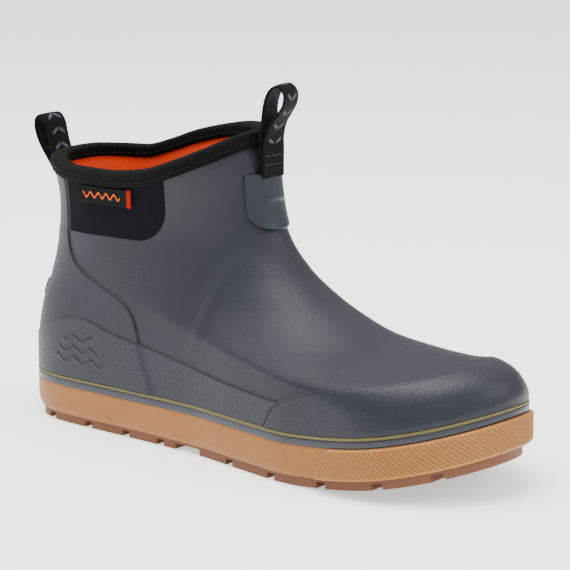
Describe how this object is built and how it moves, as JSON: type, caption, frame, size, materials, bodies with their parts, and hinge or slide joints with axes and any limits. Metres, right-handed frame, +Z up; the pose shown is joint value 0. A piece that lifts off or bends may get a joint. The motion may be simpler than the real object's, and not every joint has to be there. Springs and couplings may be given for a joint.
{
  "type": "ankle deck boot",
  "caption": "Ankle-high rubber deck boot, right foot, with stretch side panels, a banded sole, a bound collar and webbing pull loops front and back.",
  "frame": {"origin": "on the ground under the middle of the sole, on the tread's flat underside", "axes": "+X to the toe, -Y to the outer side of the foot, +Z up"},
  "size_m": [0.3114, 0.1059, 0.19],
  "materials": {
    "tread": "brown gum rubber, matt, with cross channels",
    "tan_wall": "tan rubber sole wall, satin, rolled ribs",
    "bumper": "tan rubber with a fine crossed texture",
    "grey_stripe": "grey rubber stripe, semi-gloss",
    "olive_stripe": "olive rubber stripe, matt",
    "slate_rubber": "slate grey natural rubber, matt, fine grain",
    "slate_overlay": "slate grey rubber overlay, coarser grain",
    "dark_rubber": "dark grey moulded rubber, matt",
    "stretch_web": "dark elastic webbing, vertical rib",
    "binding": "dark knit binding tape with one stitch row",
    "jersey": "orange jersey faced neoprene",
    "tape": "black woven webbing, twill, grey pattern",
    "board": "pressed fibre board",
    "foam": "closed-cell foam, grey",
    "footbed_foam": "moulded polyurethane foam",
    "footbed_cloth": "orange brushed cloth",
    "label": "woven damask label, dark grey"
  },
  "bodies": {
    "boot": {"outsole": "tread", "midsole": "foam", "insole_board": "board", "foxing_band": "tan_wall", "stripe_band": "grey_stripe", "pinstripe": "olive_stripe", "toe_bumper": "bumper", "heel_badge": "dark_rubber", "rubber_upper": "slate_rubber", "gore_lateral": "stretch_web", "gore_medial": "stretch_web", "lining": "jersey", "collar_binding": "binding", "heel_counter": "slate_rubber", "toe_cap": "slate_overlay", "side_rand_lateral": "slate_overlay", "side_rand_medial": "slate_overlay", "front_loop_tail": "tape", "front_patch": "slate_overlay", "rear_loop_tail": "tape", "rear_patch": "slate_overlay", "heel_kick_ledge": "slate_overlay"},
    "footbed": {"footbed": "footbed_foam", "footbed_topcloth": "footbed_cloth"},
    "front_loop": {"front_pull_loop": "tape"},
    "rear_loop": {"rear_pull_loop": "tape"},
    "label": {"side_label": "label"}
  },
  "joints": [
    {"name": "front_loop_fold", "type": "hinge", "parent": "boot", "child": "front_loop", "pos_m": [0.0033, 0, 0.1464], "axis": [0, 1, 0], "range_deg": [0, 90], "stiffness_Nm_per_rad": 0.002},
    {"name": "rear_loop_fold", "type": "hinge", "parent": "boot", "child": "rear_loop", "pos_m": [-0.1355, 0, 0.1186], "axis": [0, 1, 0], "range_deg": [-65, 6], "stiffness_Nm_per_rad": 0.002},
    {"name": "label_flip", "type": "hinge", "parent": "boot", "child": "label", "pos_m": [-0.0786, -0.03814, 0.1335], "axis": [1, 0.0008, 0], "range_deg": [-70, 0], "stiffness_Nm_per_rad": 0.0005},
    {"name": "footbed_lift", "type": "slide", "parent": "boot", "child": "footbed", "axis": [0, 0, 1], "range_m": [0, 0.006]}
  ]
}
